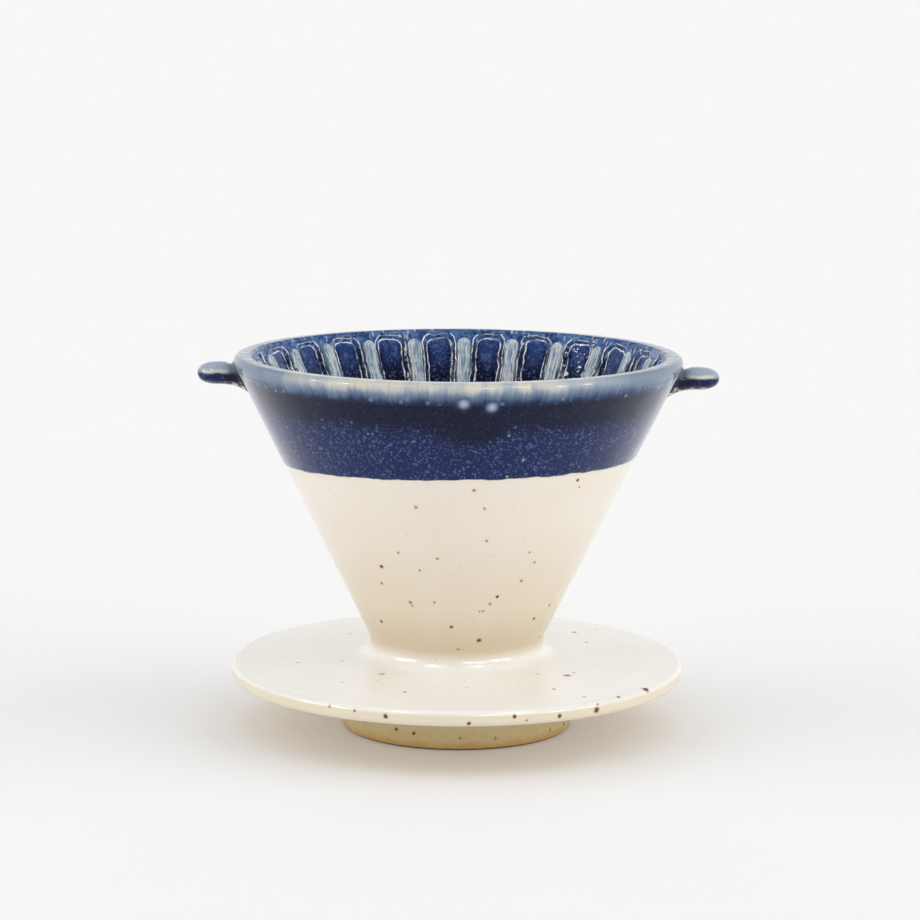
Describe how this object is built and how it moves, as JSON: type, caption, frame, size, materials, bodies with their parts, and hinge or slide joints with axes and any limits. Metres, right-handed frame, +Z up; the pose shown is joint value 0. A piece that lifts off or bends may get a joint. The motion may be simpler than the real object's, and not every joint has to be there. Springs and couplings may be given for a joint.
{
  "type": "pour over dripper",
  "caption": "Ribbed stoneware cone for brewing coffee through a paper filter, with a drain hole, a saucer and foot ring to stand on a mug, and side lugs to lift it by.",
  "frame": {"origin": "on the table, under the middle of the cone", "axes": "+Z up along the cone's axis, X from one lug to the other, -Y towards the front"},
  "size_m": [0.1356, 0.1186, 0.0983],
  "materials": {
    "cone_glaze": "glossy cream glaze with iron specks, dipped in speckled cobalt blue at the rim and inside",
    "rib_glaze": "glossy cobalt glaze that breaks pale blue along the crests",
    "saucer_glaze": "glossy cream glaze with iron specks",
    "foot_glaze": "thin satin cream glaze over warm clay, bare at the standing edge",
    "lug_glaze": "glossy cobalt glaze"
  },
  "bodies": {
    "root": {"cone_body": "cone_glaze", "rib_01": "rib_glaze", "rib_02": "rib_glaze", "rib_03": "rib_glaze", "rib_04": "rib_glaze", "rib_05": "rib_glaze", "rib_06": "rib_glaze", "rib_07": "rib_glaze", "rib_08": "rib_glaze", "rib_09": "rib_glaze", "rib_10": "rib_glaze", "rib_11": "rib_glaze", "rib_12": "rib_glaze", "rib_13": "rib_glaze", "rib_14": "rib_glaze", "rib_15": "rib_glaze", "rib_16": "rib_glaze", "rib_17": "rib_glaze", "rib_18": "rib_glaze", "rib_19": "rib_glaze", "rib_20": "rib_glaze", "rib_21": "rib_glaze", "rib_22": "rib_glaze", "rib_23": "rib_glaze", "rib_24": "rib_glaze", "saucer_plate": "saucer_glaze", "foot_ring": "foot_glaze", "lug_left": "lug_glaze", "lug_right": "lug_glaze"}
  },
  "joints": []
}
